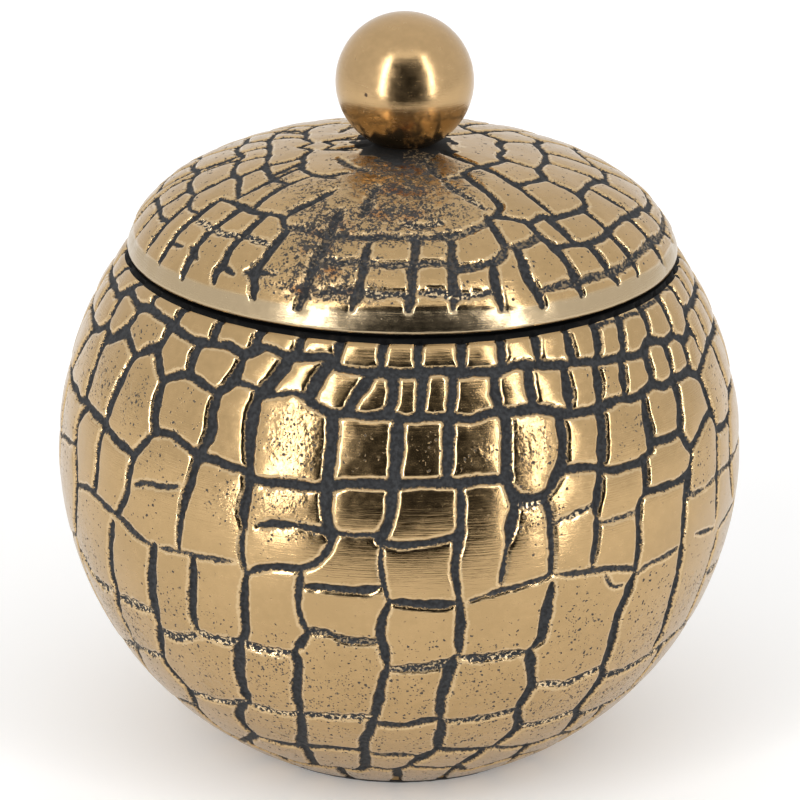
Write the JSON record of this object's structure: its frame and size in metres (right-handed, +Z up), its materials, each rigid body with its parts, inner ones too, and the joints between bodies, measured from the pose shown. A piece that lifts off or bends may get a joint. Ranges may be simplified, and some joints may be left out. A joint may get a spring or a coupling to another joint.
{
  "type": "lidded jar",
  "caption": "Ball-shaped cast metal jar with reptile-scale relief, flat base, domed lift-off lid and ball knob, for keeping small things on a shelf or table.",
  "frame": {"origin": "centre of the underside, on the surface that the jar stands on", "axes": "+Z up the jar's axis through the knob, +X to the right of the pictured view"},
  "size_m": [0.2, 0.2, 0.2175],
  "materials": {
    "cast_metal": "brass-toned cast surface, polished on the scales, dark patina in the grooves",
    "turned_metal": "brass-toned, satin turned",
    "steel": "zinc plated",
    "felt": "dark felt"
  },
  "bodies": {
    "jar": {"jar_body": "cast_metal", "base_pad": "felt"},
    "lid": {"lid_shell": "cast_metal", "ball_knob": "turned_metal", "knob_screw": "steel", "plain_washer": "steel", "spring_washer": "steel"}
  },
  "joints": [
    {"name": "lid_lift", "type": "slide", "parent": "jar", "child": "lid", "axis": [0, 0, 1], "range_m": [0, 0.12]}
  ]
}
